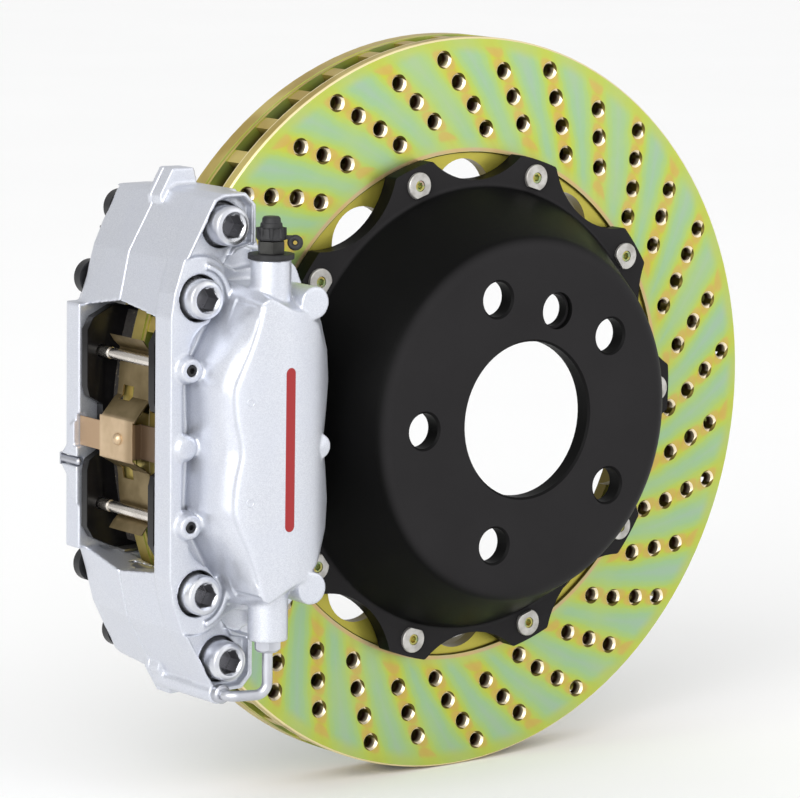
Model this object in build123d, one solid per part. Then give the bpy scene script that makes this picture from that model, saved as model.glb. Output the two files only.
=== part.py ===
from build123d import *
from math import cos, radians, sin
import os

os.makedirs("parts", exist_ok=True)

# Frame of the finished part: the origin is the centre of the hub bore at the bell's
# mounting face, +Y runs inboard along the axle, +Z is up and the caliper sits at -X.
# Every shape below is drawn about the middle of the friction ring and moved by RING_Y.
RING_Y = 56.2

# friction ring
DISC_R = 172.5
DISC_HALF = 14.0
CHEEK_IN_R = 118.7
VENT_Y = (-8.0, 2.6)
VANES = 50
VANE_START = 5.1
HOLE_R = 3.2
HOLE_MOUTH_R = 4.2
SPIRALS = 16

# bell and its drive bobbins
BELL_FACE_Y = -64.2
BELL_SEAT_Y = -56.2
HUB_R = 36.25
LUG_PCD = 120.0
LUG_R = 8.15
BOBBINS = 10
BOBBIN_PCR = 111.6
EAR_R = 120.0
EAR_Y = (-23.8, -15.6)
TAB_Y = (-12.5, -6.5)

# caliper
DISC_GAP_R = 174.6
DISC_GAP_Y = 16.5
WALL_Y = 30.2
PISTON_R = 20.95
BORE_R = 21.0
BORE_X = -142.0
BORE_Z = 28.0
BORE_END_Y = 61.0
ABUT_Z = 57.0
PAD_HALF = 55.3
PORT_X = -142.3
PORT_Y = 58.5
BOLTS = ((-169.5, 66.0, 40.0), (-156.0, 97.5, 36.5))  # x, z and the seat of the end plug
BOLT_SEAT_Y = -37.5
BOLT_R = 6.0
BOLT_HEAD_R = 9.0
COUNTERBORE_R = 10.5
PLUG_R = 8.2
PIN_X = -176.0
PIN_Z = 34.9
PIN_R = 2.6
PLATE_Y = (-29.0, -24.2)
LINING_Y = -14.4
RIB_X = -159.0
RIB_Z = -112.0
PASSAGE_R = 1.25
MOUNT_X = -122.0
MOUNT_Z = 82.0
MOUNT_R = 6.1


def slab(outline, y_lo, y_hi):
    """Prism of an (x, z) outline between two positions along the axle."""
    return extrude(Plane.XZ.offset(-y_hi) * outline, amount=y_hi - y_lo)


def slab_z(z_lo, z_hi, *points):
    """Prism of (x, y) corners between two heights."""
    return Pos(0, 0, z_lo) * extrude(poly(*points), amount=z_hi - z_lo)


def poly(*points):
    return make_face(Polyline(*points, close=True))


def mirror_z(shape):
    return mirror(shape, about=Plane.XY)


def mirror_y(shape):
    return mirror(shape, about=Plane.XZ)


def rod_y(x, z, radius, y_lo, y_hi):
    return Pos(x, (y_lo + y_hi) / 2, z) * Rot(90, 0, 0) * Cylinder(radius, y_hi - y_lo)


def rod_z(x, y, radius, z_lo, z_hi):
    return Pos(x, y, (z_lo + z_hi) / 2) * Cylinder(radius, z_hi - z_lo)


def drilled(start, end):
    """Fluid passage between two points."""
    axis = Vector(*end) - Vector(*start)
    return extrude(Plane(origin=start, z_dir=axis) * Circle(PASSAGE_R), amount=axis.length)


def turned(*profile):
    """Solid turned about the axle from (radius, y) corners."""
    return revolve(poly(*profile), axis=Axis.Y)


def turned_at(x, z, *profile):
    """Solid turned about an axle-parallel line through (x, z)."""
    return Pos(x, 0, z) * turned(*profile)


def around(shape, count, first=0.0):
    """Copies of a shape drawn on the +X radius, turned from +X towards +Z."""
    return [Rot(0, -(first + 360 * k / count), 0) * shape for k in range(count)]


def on_circle(radius, degrees):
    return radius * cos(radians(degrees)), radius * sin(radians(degrees))


def nearest(shape, x, y):
    return min(shape.vertices(), key=lambda v: (v.X - x) ** 2 + (v.Y - y) ** 2)


def save(shapes, node):
    solids = []
    for shape in shapes if isinstance(shapes, list) else [shapes]:
        solids += [Pos(0, RING_Y, 0) * solid for solid in shape.solids()]
    whole = solids[0] if len(solids) == 1 else Compound(solids)
    whole.label = node
    export_step(whole, f"parts/{node}.step")


# ------------------------------------------------------------------ friction ring
def friction_ring():
    lip = 0.8
    outer = turned(
        (CHEEK_IN_R, -DISC_HALF + 0.5),
        (CHEEK_IN_R + 0.5, -DISC_HALF),
        (DISC_R - lip, -DISC_HALF),
        (DISC_R, -DISC_HALF + lip),
        (DISC_R, VENT_Y[0]),
        (CHEEK_IN_R, VENT_Y[0]),
    )
    inner = turned(
        (CHEEK_IN_R + 1.5, VENT_Y[1]),
        (DISC_R, VENT_Y[1]),
        (DISC_R, 4.2),
        (DISC_R - 1.0, 4.6),
        (DISC_R - 1.0, 5.4),
        (DISC_R, 5.8),
        (DISC_R, DISC_HALF - lip),
        (DISC_R - lip, DISC_HALF),
        (CHEEK_IN_R + 2.0, DISC_HALF),
        (CHEEK_IN_R + 1.5, DISC_HALF - 0.5),
    )
    vane = slab(
        poly((123.0, -2.4), (171.9, -3.5), (172.2, 0.0), (171.9, 3.5), (123.0, 2.4)),
        VENT_Y[0] - 0.5,
        VENT_Y[1] + 0.5,
    )
    flange_face = Circle(CHEEK_IN_R + 3) - Circle(103.2)
    for k in range(BOBBINS):
        x, z = on_circle(99.2, 360 / BOBBINS * (k + 0.5))
        flange_face -= Pos(x, z) * Circle(16.8)
    flange = slab(flange_face, *TAB_Y)
    ring = outer + inner + around(vane, VANES, VANE_START) + flange
    drill = turned(
        (0, -DISC_HALF - 0.1),
        (HOLE_MOUTH_R + 0.1, -DISC_HALF - 0.1),
        (HOLE_R, -DISC_HALF + 1.0),
        (HOLE_R, DISC_HALF - 1.0),
        (HOLE_MOUTH_R + 0.1, DISC_HALF + 0.1),
        (0, DISC_HALF + 0.1),
    )
    long_row = ((163.0, 0.0), (152.0, -2.95), (141.0, -6.5), (130.0, -10.05))
    short_row = ((157.5, 9.75), (146.5, 6.75), (135.3, 3.15))
    drills = []
    for k in range(SPIRALS):
        for radius, swing in long_row + short_row:
            x, z = on_circle(radius, 4.55 + 360 / SPIRALS * k + swing)
            drills.append(Pos(x, 0, z) * drill)
    bobbin_hole = rod_y(BOBBIN_PCR, 0, 5.1, TAB_Y[0] - 1, TAB_Y[1] + 1)
    return ring - drills - around(bobbin_hole, BOBBINS)


def bell():
    slope = 0.53
    wall = 6.0
    small_r = 85.0 + (BELL_FACE_Y + 60) * slope
    large_r = 85.0 + (EAR_Y[0] + 60) * slope
    face = poly(
        (HUB_R, BELL_FACE_Y),
        (small_r, BELL_FACE_Y),
        (large_r, EAR_Y[0]),
        (EAR_R, EAR_Y[0]),
        (EAR_R, EAR_Y[1]),
        (large_r - wall + 4.4, EAR_Y[1]),
        (small_r - wall + 4.2, BELL_SEAT_Y),
        (HUB_R, BELL_SEAT_Y),
    )
    face = fillet([nearest(face, small_r, BELL_FACE_Y)], 9.0)
    face = fillet([nearest(face, large_r, EAR_Y[0])], 3.0)
    face = fillet([nearest(face, small_r - wall + 4.2, BELL_SEAT_Y)], 5.0)
    body = revolve(face, axis=Axis.Y)
    scallop = rod_y(147.0, 0, 40.0, EAR_Y[0] - 1, EAR_Y[1] + 1)
    body -= around(scallop, BOBBINS, 180 / BOBBINS)
    corners = [e for e in body.edges().filter_by(Axis.Y) if e.length < 9.0]
    body = fillet(corners, 2.0)
    body -= around(rod_y(BOBBIN_PCR, 0, 5.1, EAR_Y[0] - 1, EAR_Y[1] + 1), BOBBINS)
    lug = turned(
        (0, BELL_FACE_Y - 0.1),
        (LUG_R + 1.1, BELL_FACE_Y - 0.1),
        (LUG_R, BELL_FACE_Y + 1.0),
        (LUG_R, BELL_SEAT_Y + 1),
        (0, BELL_SEAT_Y + 1),
    )
    body -= around(Pos(LUG_PCD / 2, 0, 0) * lug, 5, 36)
    x, z = on_circle(52.1, 71.6)
    body -= rod_y(x, z, 7.4, BELL_FACE_Y - 1, BELL_SEAT_Y + 1)
    body -= rod_y(x, z, 8.7, BELL_FACE_Y - 1, BELL_FACE_Y + 3.0)
    body -= turned(
        (HUB_R - 2, BELL_FACE_Y - 0.1),
        (HUB_R + 1.1, BELL_FACE_Y - 0.1),
        (HUB_R, BELL_FACE_Y + 1.0),
        (HUB_R - 2, BELL_FACE_Y + 1.0),
    )
    return body


def bobbin():
    body = turned_at(
        BOBBIN_PCR,
        0,
        (2.6, -25.6),
        (5.9, -25.6),
        (6.3, -25.2),
        (6.3, EAR_Y[0]),
        (5.0, EAR_Y[0]),
        (5.0, TAB_Y[1]),
        (2.6, TAB_Y[1]),
    )
    return body - Pos(BOBBIN_PCR - 7.2, -24.9, 0) * Box(4.2, 2.2, 14)


def bobbin_screw():
    shank = rod_y(BOBBIN_PCR, 0, 2.55, -25.1, TAB_Y[1])
    head = turned_at(
        BOBBIN_PCR, 0, (0, TAB_Y[1]), (5.2, TAB_Y[1]), (5.2, -3.9), (4.7, -3.4), (0, -3.4)
    )
    front = RegularPolygon(1.5, 6, major_radius=False)
    rear = RegularPolygon(2.0, 6, major_radius=False)
    screw = shank + head
    screw -= slab(Pos(BOBBIN_PCR, 0) * front, -25.2, -23.2)
    return screw - slab(Pos(BOBBIN_PCR, 0) * rear, -5.4, -3.3)


def spring_washer():
    return turned_at(
        BOBBIN_PCR, 0, (5.1, -15.6), (6.7, -13.5), (6.7, -12.5), (5.1, -14.6)
    )


# ------------------------------------------------------------------ caliper castings
# Outer outlines are (x, z) corners of the upper half, mirrored for the lower half.
BRIDGE = (
    (-184.0, 56.0),
    (-182.3, 63.0),
    (-177.8, 83.0),
    (-162.0, 109.8),
    (-158.0, 111.5),
    (-141.0, 111.5),
    (-133.0, 95.0),
    (-126.0, 80.0),
    (-118.0, 72.0),
    (-115.0, 56.0),
)
BASE = (
    (-184.4, 58.0),
    (-182.6, 69.0),
    (-177.5, 83.5),
    (-162.5, 109.5),
    (-158.0, 111.5),
    (-146.0, 111.5),
    (-140.5, 106.0),
    (-140.5, 87.0),
    (-134.0, 84.5),
    (-121.5, 82.0),
    (-114.5, 75.5),
    (-110.5, 66.0),
    (-107.0, 54.0),
    (-102.6, 40.0),
    (-101.8, 27.0),
    (-102.8, 14.0),
    (-104.5, 0.0),
)
LAND = (
    (-190.0, 0.0),
    (-190.0, 115.0),
    (-138.0, 115.0),
    (-138.0, 86.5),
    (-147.5, 85.5),
    (-152.5, 84.0),
    (-156.0, 78.0),
    (-155.8, 66.0),
    (-158.0, 62.0),
    (-164.0, 55.0),
    (-170.5, 49.5),
    (-177.4, 38.0),
    (-178.2, 27.0),
    (-177.8, 0.0),
)
# housing outline at its foot and at the shoulder of the panel: left side, then right
FOOT = (
    (-171.0, 0.0),
    (-171.4, 14.0),
    (-172.2, 27.0),
    (-169.5, 39.0),
    (-161.5, 53.0),
    (-156.8, 64.0),
    (-152.5, 72.5),
    (-131.0, 71.0),
    (-114.0, 64.5),
    (-107.0, 54.0),
    (-102.6, 40.0),
    (-101.8, 27.0),
    (-102.8, 14.0),
    (-104.5, 0.0),
)
SHOULDER = (
    (-163.8, 0.0),
    (-166.0, 14.0),
    (-167.0, 27.0),
    (-164.0, 37.5),
    (-159.0, 52.5),
    (-155.8, 65.0),
    (-151.0, 69.0),
    (-136.5, 64.5),
    (-126.5, 61.0),
    (-121.0, 54.0),
    (-118.0, 40.0),
    (-117.2, 27.0),
    (-118.2, 14.0),
    (-119.7, 0.0),
)


# channel between the land and the foot of the housing, upper half
CHANNEL = (
    (-177.8, 0.0),
    (-178.2, 27.0),
    (-177.4, 38.0),
    (-170.5, 49.5),
    (-164.0, 55.0),
    (-160.4, 59.2),
    (-158.9, 59.0),
    (-161.5, 53.0),
    (-169.5, 39.0),
    (-172.2, 27.0),
    (-171.0, 0.0),
)
CHANNEL_Y = -36.4


def housing_section(y, left, right):
    """Outline between foot and shoulder, with separate blends for its two sides."""
    upper = []
    for (fx, fz), (sx, sz) in zip(FOOT, SHOULDER):
        blend = left if fx < -140 else right
        upper.append((fx + (sx - fx) * blend, fz + (sz - fz) * blend))
    lower = [(x, -z) for x, z in reversed(upper[1:-1])]
    return Plane.XZ.offset(-y) * poly(*upper, *lower)


def housing():
    sections = [
        housing_section(-39.0, 0.0, 0.0),
        housing_section(-46.0, 0.1, 0.03),
        housing_section(-52.0, 0.28, 0.25),
        housing_section(-59.0, 0.6, 0.58),
        housing_section(-66.0, 1.0, 1.0),
        housing_section(-74.0, 1.45, 1.6),
    ]
    body = loft(sections, ruled=True)
    crown = Pos(-142.5, -27.5, 0) * Cylinder(44.5, 200)
    return body & crown


def casting():
    """Outboard casting before its local features, in the y < 0 half space."""
    upper = slab(poly(*BRIDGE), -WALL_Y, 0.0)
    base_face = poly(*BASE, *[(x, -z) for x, z in reversed(BASE[:-1])])
    land_face = poly(*LAND, *[(x, -z) for x, z in reversed(LAND[1:-1])])
    channel = slab(poly(*CHANNEL), -40.0, CHANNEL_Y)
    base = slab(base_face, -39.5, -WALL_Y) - channel - mirror_z(channel)
    land = slab(base_face & land_face, -43.0, -39.5)
    body = base + land + upper + mirror_z(upper) + housing()
    return body


def bores_and_slots():
    """Everything the pads, disc, pistons and fluid need, for one half."""
    cuts = [turned((0, -DISC_GAP_Y), (DISC_GAP_R, -DISC_GAP_Y), (DISC_GAP_R, 1), (0, 1))]
    for z in (-BORE_Z, BORE_Z):
        cuts.append(
            turned_at(
                BORE_X,
                z,
                (0, -WALL_Y + 1),
                (23.6, -WALL_Y + 1),
                (23.6, -33.6),
                (BORE_R, -33.6),
                (BORE_R, -36.0),
                (23.4, -36.0),
                (23.4, -39.2),
                (BORE_R, -39.2),
                (BORE_R, -BORE_END_Y),
                (0, -BORE_END_Y),
            )
        )
    cuts.append(rod_z(PORT_X, -PORT_Y, 1.6, -80, 80))
    for s in (1, -1):
        cuts.append(Pos(PORT_X, -PORT_Y, s * 76) * Cylinder(4.25, 22))
    # flat abutments for the pad ends, below the window
    cuts.append(Pos(-138, -WALL_Y / 2, 0) * Box(70, WALL_Y, 2 * ABUT_Z))
    return cuts


def window():
    side = make_face(
        Polyline(
            (-WALL_Y, -57.0), (0, -61.0), (WALL_Y, -55.6),
            (WALL_Y, 55.6), (0, 61.0), (-WALL_Y, 57.0), close=True,
        )
    )
    return Pos(-203, 0, 0) * extrude(Plane.YZ * side, amount=100)


def outboard_half():
    body = casting()
    for s in (1, -1):
        body += rod_z(PORT_X, -PORT_Y, 9.0, 45 if s > 0 else -87.0, 83.5 if s > 0 else -45)
        body += rod_y(-126.0, s * 64.0, 7.35, -70.0, -WALL_Y)
        body += turned_at(
            PIN_X, s * PIN_Z,
            (0, -39), (7.2, -39), (6.4, -43.4), (5.2, -47.4), (0, -47.4),
        )
    body += turned_at(-176.6, 0, (0, -39), (6.6, -39), (6.0, -43.4), (4.2, -45.4), (0, -45.4))
    body += turned_at(-118.6, -1.5, (0, -39), (5.7, -39), (5.7, -64.5), (0, -66.0))
    body += rod_y(RIB_X, RIB_Z, 5.0, -44.8, 0.0)
    rims = []
    for s in (1, -1):
        x_in, z_in, _ = BOLTS[0]
        # deep hollow between the bolt lands and the housing
        hollow = poly(
            (-154.0, s * 79.5), (-149.5, s * 85.5), (-142.5, s * 88.0),
            (-136.0, s * 86.0), (-136.0, s * 78.0), (-147.0, s * 76.5),
        )
        body -= slab(hollow, -50.0, -35.0)
        # shallow pocket around the outer bolt, between a rim and a land about the inner bolt
        pocket = poly(
            (-176.4, s * 82.0), (-161.4, s * 108.2), (-157.4, s * 109.6), (-147.4, s * 109.6),
            (-142.8, s * 105.2), (-142.8, s * 88.8), (-151.0, s * 87.0), (-155.5, s * 79.0),
            (-165.0, s * 78.0), (-176.4, s * 78.0),
        )
        pocket -= Pos(x_in, s * z_in) * Circle(18.6)
        rim = poly(
            (-177.5, s * 83.5), (-162.5, s * 109.5), (-158.0, s * 111.5), (-146.0, s * 111.5),
            (-140.5, s * 106.0), (-140.5, s * 88.5), (-142.8, s * 88.8), (-142.8, s * 105.2),
            (-147.4, s * 109.6), (-157.4, s * 109.6), (-161.4, s * 108.2), (-175.3, s * 84.6),
        )
        body -= slab(pocket, -50.0, -40.3)
        rims.append(slab(rim, -44.8, -40.0))
        # crescent rib on the disc side of the inner bolt
        crescent = Circle(15.6) - Circle(13.0)
        crescent &= Pos(12, s * 8) * Rectangle(18, 22)
        rims.append(slab(Pos(x_in, z_in * s) * crescent, -45.6, -39.0))
    for rim in rims:
        body += rim
    for s in (1, -1):
        # end lug on the parting plane
        lug = poly(
            (-165.8, s * 104.0), (-166.4, s * 107.5), (-159.3, s * 119.6), (-148.0, s * 119.2),
            (-146.4, s * 113.0), (-147.5, s * 106.0),
        )
        body += slab(lug, -7.4, 0.0)
        for x, z, _ in BOLTS:
            body -= rod_y(x, s * z, COUNTERBORE_R, -60, BOLT_SEAT_Y)
            body -= rod_y(x, s * z, BOLT_R + 0.3, -60, 1)
        body -= rod_y(PIN_X, s * PIN_Z, PIN_R + 0.05, -60, 0)
        # small ring marks on the panel
        mark = Circle(2.1) - Circle(1.2)
        body -= slab(Pos(-159.5, s * 22.2) * mark, -72.0, -67.9)
    # slot under the rail for the pad spring's wing
    body -= Pos(-177.1, -34.0, -2.5) * Box(3.0, 12.0, 20.0)
    # fluid rib along the lower end, with the crossover pipe's seat
    body -= rod_y(RIB_X, RIB_Z, 2.45, -50.0, -30.0)
    body -= rod_y(RIB_X, RIB_Z, PASSAGE_R, -31.0, 1.0)
    body -= bores_and_slots()
    body -= window()
    return body


def sloped_roof():
    """Waste above the bridge roofs, which fall away towards the inboard edge."""
    outlines = (
        (1.0, (-184.0, 56.0), (-177.8, 83.0), (-162.0, 109.8), (-158.0, 111.5), (-130.0, 111.5)),
        (36.5, (-179.4, 56.0), (-172.4, 82.0), (-160.6, 105.5), (-157.2, 108.6), (-130.0, 108.6)),
        (47.0, (-174.6, 56.0), (-164.6, 82.0), (-157.4, 99.0), (-154.0, 107.0), (-130.0, 107.0)),
    )
    sections = []
    for y, *roof in outlines:
        above = (roof[-1][0], 130.0)
        sections.append(Plane.XZ.offset(-y) * poly(*roof, above, (-215.0, 130.0), (-215.0, 56.0)))
    waste = loft(sections, ruled=True)
    return waste + mirror_z(waste)


def inboard_half():
    body = mirror_y(casting()) - sloped_roof()
    for s in (1, -1):
        body += rod_z(PORT_X, PORT_Y, 9.0, 45 if s > 0 else -83.5, 83.5 if s > 0 else -45)
        # mounting ear with its bolt hole along the axle
        ear = poly(
            (-150.0, s * 70.0), (-146.0, s * 98.0), (-131.0, s * 101.0), (-113.0, s * 96.0),
            (-104.0, s * 84.0), (-104.0, s * 66.0), (-112.0, s * 52.0),
        )
        body += slab(ear, WALL_Y, 47.6)
        body += rod_y(MOUNT_X, s * MOUNT_Z, 14.0, 20.0, 51.0)
        lug = poly(
            (-165.8, s * 104.0), (-166.4, s * 107.5), (-159.3, s * 119.6), (-148.0, s * 119.2),
            (-146.4, s * 113.0), (-147.5, s * 106.0),
        )
        body += slab(lug, 0.0, 3.6)
    # narrow rail beside the window, its outer corner cut away
    body -= slab_z(-62.0, 62.0, (-200.0, 40.0), (-184.4, 40.0), (-181.0, 46.5), (-200.0, 55.0))
    # spring seat and the wire clip's slotted boss on the rail
    boss = make_face(Polyline(
        (WALL_Y, 4.0), (36.5, 0.0), (38.0, -8.0), (43.0, -13.5), (43.0, -18.5), (38.0, -24.0),
        (36.5, -32.0), (WALL_Y, -36.0), close=True,
    ))
    body += Pos(-185.6, 0, 0) * extrude(Plane.YZ * boss, amount=9.6)
    for s in (1, -1):
        for x, z, plug_y in BOLTS:
            body -= rod_y(x, s * z, BOLT_R, -1, 60)
            body -= rod_y(x, s * z, PLUG_R + 1.0, plug_y, 60)
        body -= rod_y(PIN_X, s * PIN_Z, PIN_R + 0.05, 0, 44.0)
        body -= rod_y(MOUNT_X, s * MOUNT_Z, MOUNT_R, 10.0, 60.0)
    body -= slab(poly((-192, -18.2), (-192, -13.8), (-181.5, -13.8), (-181.5, -18.2)), 28, 45)
    body -= slab(poly((-192, -9.0), (-192, 6.0), (-181.2, 6.0), (-181.2, -9.0)), 28, 32.6)
    # fluid passage from the parting plane to the lower port
    corners = (
        (RIB_X, -1.0, RIB_Z), (RIB_X, 1.8, RIB_Z), (-140.0, 1.8, -100.0), (-140.0, 35.0, -100.0),
        (-140.0, 35.0, -68.0), (PORT_X, PORT_Y, -60.0),
    )
    body -= [drilled(a, b) for a, b in zip(corners, corners[1:])]
    body -= [mirror_y(cut) for cut in bores_and_slots()]
    body -= window()
    return body


# ------------------------------------------------------------------ hardware
def bridge_bolt(end_y):
    """Socket-head bolt with a countersunk hexagon, its tip just short of end_y."""
    bolt = turned(
        (0, -49.8), (7.2, -49.8), (8.4, -49.2), (BOLT_HEAD_R, -48.0), (BOLT_HEAD_R, BOLT_SEAT_Y),
        (BOLT_R, BOLT_SEAT_Y), (BOLT_R, end_y - 2.0), (BOLT_R - 1.0, end_y - 1.0), (0, end_y - 1.0),
    )
    bolt -= turned((0, -50.0), (6.5, -50.0), (5.2, -48.7), (0, -48.7))
    return bolt - slab(RegularPolygon(5.0, 6, major_radius=False), -50.0, -41.5)


def bolt_end_plug():
    """Domed plug standing on y = 0."""
    return turned((0, 0), (PLUG_R, 0), (PLUG_R, 4.8), (7.0, 6.6), (4.0, 7.2), (0, 7.3))


def piston():
    return turned(
        (0, -57.0), (20.0, -57.0), (PISTON_R, -56.0), (PISTON_R, -32.3), (20.4, -32.0),
        (20.4, -31.3), (PISTON_R, -31.0), (PISTON_R, -30.3), (20.4, -29.8), (15.5, -29.8),
        (15.5, -50.0), (0, -50.0),
    )


def piston_seal():
    return turned((BORE_R, -39.1), (23.3, -39.1), (23.3, -36.1), (BORE_R, -36.1))


def dust_boot():
    return turned(
        (BORE_R, -33.5), (23.5, -33.5), (23.5, -30.9), (22.2, -30.9), (22.2, -32.5),
        (BORE_R, -32.5),
    )


PAD_EDGE = (
    (-175.5, 0.0), (-175.5, 10.5), (-182.6, 14.5), (-183.8, 19.0), (-183.8, 45.0), (-180.5, 50.5),
    (-170.0, PAD_HALF), (-128.0, PAD_HALF), (-123.5, 43.0), (-121.0, 0.0),
)


def pad_outline(shrink):
    face = poly(*PAD_EDGE, *[(x, -z) for x, z in reversed(PAD_EDGE[1:-1])])
    return offset(face, -shrink) if shrink else face


def pad_plate():
    plate = slab(pad_outline(0), *PLATE_Y)
    for s in (1, -1):
        plate -= rod_y(PIN_X, s * PIN_Z, PIN_R + 0.35, -32, -22)
    return plate


def pad_shim():
    lower = Pos(-145.5, 0) * Rectangle(48, 100)
    return slab(pad_outline(1.4) & lower, PLATE_Y[0] - 0.7, PLATE_Y[0])


def pad_lining():
    sector = (Circle(170.4) - Circle(123.0)) & (Pos(-150, 0) * Rectangle(80, 106))
    sector -= Pos(-150, 0) * Rectangle(80, 2.6)
    return slab(sector, PLATE_Y[1], LINING_Y)


def pad_pin():
    return turned(
        (0, -43.6), (PIN_R, -43.6), (PIN_R, 15.0), (2.3, 15.2), (2.3, 16.2), (2.75, 16.4),
        (2.75, 17.2), (2.3, 25.0), (2.3, 43.0), (0, 43.4),
    )


def pin_retainer():
    ring = turned((0, -47.2), (2.2, -47.2), (PIN_R, -46.8), (PIN_R, -43.7), (0, -43.7))
    return ring - slab(RegularPolygon(1.2, 6, major_radius=False), -48, -45)


def pad_spring():
    gauge = 0.8
    z_mid = -1.8
    plate = Pos(-182.2, 3.0, z_mid) * Box(gauge, 26.0, 19.0)
    tongue = Pos(-182.2, 24.0, z_mid) * Box(gauge, 16.0, 13.4)
    step = Pos(-179.8, -9.6, z_mid) * Box(5.6, gauge, 15.8)
    wing = Pos(-177.4, -22.3, z_mid) * Box(gauge, 26.2, 15.8)
    body = plate + tongue + step + wing - Pos(-182.2, 1.4, -1.6) * Rot(0, 90, 0) * Cylinder(1.5, 3)
    for s in (1, -1):
        path = [
            (-182.6, z_mid + s * 9.0), (-182.6, z_mid + s * 9.5), (-176.0, 15.2 * s),
            (-174.2, 16.6 * s), (-173.6, 20.5 * s), (-173.2, 27.5 * s), (-172.4, 33.0 * s),
            (-173.0, 38.0 * s), (-176.2, 41.0 * s), (-178.4, 44.2 * s),
        ]
        inner = [(x + gauge, z - s * 0.25) for x, z in reversed(path)]
        arm = slab(poly(*path, *inner), -11.5, 14.5)
        body += arm - Pos(-174, 6.2, s * 18.0) * Box(10, 8.2, 6.4)
    return body


def spring_rivet():
    return Pos(-182.6, 1.4, -1.6) * Rot(0, -90, 0) * (
        Cylinder(1.5, 2.4) + Pos(0, 0, -0.6) * (Sphere(2.9) & Pos(0, 0, 5.6) * Box(9, 9, 10))
    )


def abutment_plate():
    plate = Pos(-145.0, -23.4, ABUT_Z - 0.5) * Box(46.0, 12.4, 1.0)
    return plate - Pos(-145.0, -23.4, ABUT_Z) * Cylinder(2.2, 4)


def wear_clip():
    wire = rod_y(-184.0, -16.0, 1.7, 31.0, 43.3) + Pos(-184.0, 31.0, -16.0) * Sphere(1.7)
    return wire + Pos(-184.0, 43.6, -16.0) * Box(3.2, 1.0, 5.6)


def pipe_route():
    return FilletPolyline(
        (PORT_X, -PORT_Y, -86.0),
        (PORT_X, -PORT_Y, RIB_Z),
        (RIB_X, -53.5, RIB_Z),
        (RIB_X, -34.5, RIB_Z),
        radius=5.5,
    )


def crossover_pipe():
    route = pipe_route()
    section = Plane(origin=route @ 0, z_dir=route % 0) * Circle(2.4)
    return sweep(section, path=route)


def tube_nut():
    hexagon = Pos(PORT_X, -PORT_Y, -92.5) * extrude(
        RegularPolygon(5.5, 6, major_radius=False), amount=5.5
    )
    thread = rod_z(PORT_X, -PORT_Y, 4.2, -87.2, -78.0)
    chamfer_cone = Pos(PORT_X, -PORT_Y, -90.1) * Cone(4.4, 9.5, 5.0)
    nut = (hexagon & (chamfer_cone + rod_z(PORT_X, -PORT_Y, 8, -87.7, -86.9))) + thread
    return nut - rod_z(PORT_X, -PORT_Y, 2.42, -100, -70)


def pipe_collar():
    return turned_at(
        RIB_X, RIB_Z, (2.42, -48.6), (3.4, -48.6), (4.3, -47.8), (4.3, -44.8), (2.42, -44.8)
    )


def bleeder_screw():
    hexagon = Pos(0, 0, 86.0) * extrude(RegularPolygon(5.5, 6, major_radius=False), amount=5.4)
    stem = revolve(
        make_face(Polyline(
            (0, 66.0), (1.4, 66.0), (4.15, 69.0), (4.15, 86.2), (4.4, 91.3), (2.9, 91.7),
            (2.9, 96.2), (3.3, 97.2), (2.2, 99.6), (0, 99.6), close=True,
        )),
        axis=Axis.Y,
    )
    screw = Rot(90, 0, 0) * stem + hexagon
    screw -= Pos(0, 0, 88.0) * Cylinder(1.1, 40)
    return Pos(PORT_X, -PORT_Y, 0) * screw


def bleeder_base_ring():
    ring = Pos(0, 0, 84.7) * (Cylinder(10.3, 2.3) - Cylinder(4.25, 3))
    return Pos(PORT_X, -PORT_Y, 0) * ring


def bleeder_cap():
    shell = make_face(Polyline(
        (3.3, 91.9), (6.3, 91.9), (6.5, 92.8), (6.0, 94.2), (5.8, 97.0), (5.0, 97.4),
        (4.8, 99.2), (4.2, 99.6), (4.0, 101.4), (3.4, 102.2), (0, 102.2), (0, 100.6),
        (3.6, 100.6), (3.6, 96.0), (3.3, 95.6), close=True,
    ))
    cap = Rot(90, 0, 0) * revolve(shell, axis=Axis.Y)
    for k in range(8):
        x, y = on_circle(5.8, 45 * k + 10)
        cap += Pos(x, y, 94.9) * Cylinder(0.95, 5.0)
    # pull ring on the side of the cap
    turn = Rot(0, 0, -37.5)
    loop = Pos(10.5, 0, 90.7) * Rot(90, 0, 0) * Torus(2.2, 1.3)
    bridge = Pos(7.6, 0, 93.0) * Box(4.2, 1.8, 1.8)
    cap += turn * (loop + bridge)
    return Pos(PORT_X, -PORT_Y, 0) * cap


ring = friction_ring()
save(ring, "brake_disc")
save(bell(), "disc_bell")
save(around(bobbin(), BOBBINS), "drive_bobbins")
save(around(bobbin_screw(), BOBBINS), "bobbin_screws")
save(around(spring_washer(), BOBBINS), "spring_washers")
save(outboard_half(), "outboard_caliper_half")
save(inboard_half(), "inboard_caliper_half")

bolts = []
plugs = []
for x, z, plug_y in BOLTS:
    for s in (1, -1):
        bolts.append(Pos(x, 0, s * z) * bridge_bolt(plug_y))
        plugs.append(Pos(x, plug_y, s * z) * bolt_end_plug())
save(bolts, "bridge_bolts")
save(plugs, "bolt_end_plugs")

seals = []
boots = []
for side, flip in (("outboard", lambda shape: shape), ("inboard", mirror_y)):
    for level, s in (("upper", 1), ("lower", -1)):
        place = Pos(BORE_X, 0, s * BORE_Z)
        seals.append(flip(place * piston_seal()))
        boots.append(flip(place * dust_boot()))
        save(flip(place * piston()), f"piston_{side}_{level}")
    save(flip(pad_plate()), f"pad_plate_{side}")
    save(flip(pad_lining()), f"pad_lining_{side}")
    save(flip(pad_shim()), f"pad_shim_{side}")
    save(flip(bleeder_screw()), f"bleeder_screw_{side}")
    save(flip(bleeder_cap()), f"bleeder_cap_{side}")
save(seals, "piston_seals")
save(boots, "dust_boots")

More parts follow.
